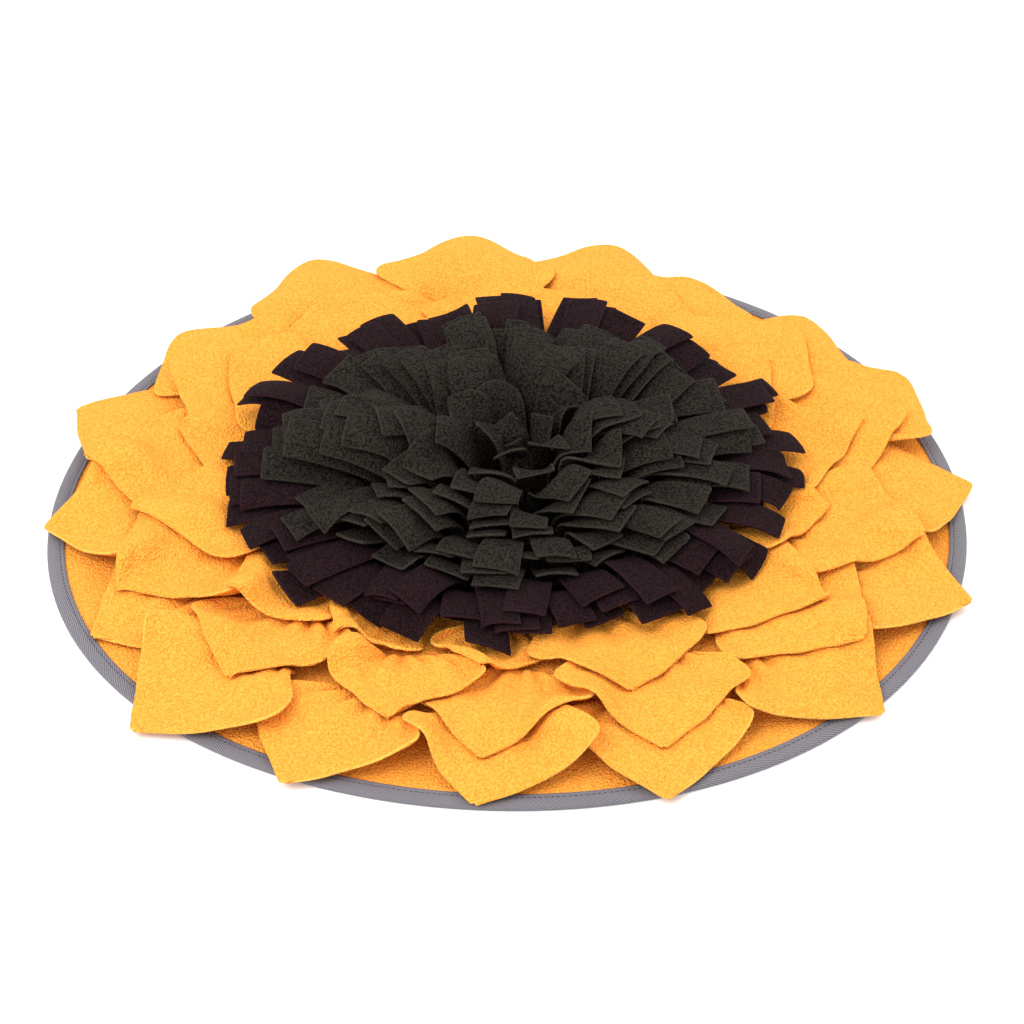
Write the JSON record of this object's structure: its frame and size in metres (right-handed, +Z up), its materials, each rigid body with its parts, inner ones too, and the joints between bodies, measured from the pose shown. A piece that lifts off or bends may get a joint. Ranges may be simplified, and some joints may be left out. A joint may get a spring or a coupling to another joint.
{
  "type": "snuffle mat",
  "caption": "Round fleece snuffle mat like a sunflower: a taped yellow disc with rings of square petals around stacked dark fleece strips.",
  "frame": {"origin": "centre of the mat's underside, on the surface that it lies on", "axes": "+Z up through the mat; -Y towards the side nearest the viewer in the picture, +X to the viewer's right"},
  "size_m": [0.5668, 0.571, 0.0675],
  "materials": {
    "sunflower_yellow": "matt pebbly fleece, cut edges",
    "grey_tape": "ribbed twill tape, slight sheen",
    "aubergine": "matt fleece, cut edges",
    "charcoal_green": "matt fleece, cut edges"
  },
  "bodies": {
    "root": {"edge_tape": "grey_tape", "fringe_green_1": "charcoal_green", "fringe_green_2": "charcoal_green", "fringe_green_3": "charcoal_green", "fringe_green_4": "charcoal_green", "fringe_green_5": "charcoal_green", "fringe_green_6": "charcoal_green", "fringe_green_7": "charcoal_green", "fringe_green_8": "charcoal_green", "fringe_green_9": "charcoal_green", "fringe_purple_1": "aubergine", "fringe_purple_2": "aubergine", "fringe_purple_3": "aubergine", "mat_disc": "sunflower_yellow", "petal_inner_01": "sunflower_yellow", "petal_inner_02": "sunflower_yellow", "petal_inner_03": "sunflower_yellow", "petal_inner_04": "sunflower_yellow", "petal_inner_05": "sunflower_yellow", "petal_inner_06": "sunflower_yellow", "petal_inner_07": "sunflower_yellow", "petal_inner_08": "sunflower_yellow", "petal_inner_09": "sunflower_yellow", "petal_inner_10": "sunflower_yellow", "petal_inner_11": "sunflower_yellow", "petal_inner_12": "sunflower_yellow", "petal_inner_13": "sunflower_yellow", "petal_inner_14": "sunflower_yellow", "petal_middle_01": "sunflower_yellow", "petal_middle_02": "sunflower_yellow", "petal_middle_03": "sunflower_yellow", "petal_middle_04": "sunflower_yellow", "petal_middle_05": "sunflower_yellow", "petal_middle_06": "sunflower_yellow", "petal_middle_07": "sunflower_yellow", "petal_middle_08": "sunflower_yellow", "petal_middle_09": "sunflower_yellow", "petal_middle_10": "sunflower_yellow", "petal_middle_11": "sunflower_yellow", "petal_middle_12": "sunflower_yellow", "petal_middle_13": "sunflower_yellow", "petal_middle_14": "sunflower_yellow", "petal_outer_01": "sunflower_yellow", "petal_outer_02": "sunflower_yellow", "petal_outer_03": "sunflower_yellow", "petal_outer_04": "sunflower_yellow", "petal_outer_05": "sunflower_yellow", "petal_outer_06": "sunflower_yellow", "petal_outer_07": "sunflower_yellow", "petal_outer_08": "sunflower_yellow", "petal_outer_09": "sunflower_yellow", "petal_outer_10": "sunflower_yellow", "petal_outer_11": "sunflower_yellow", "petal_outer_12": "sunflower_yellow", "petal_outer_13": "sunflower_yellow", "petal_outer_14": "sunflower_yellow", "petal_outer_15": "sunflower_yellow", "petal_outer_16": "sunflower_yellow", "petal_outer_17": "sunflower_yellow"}
  },
  "joints": []
}
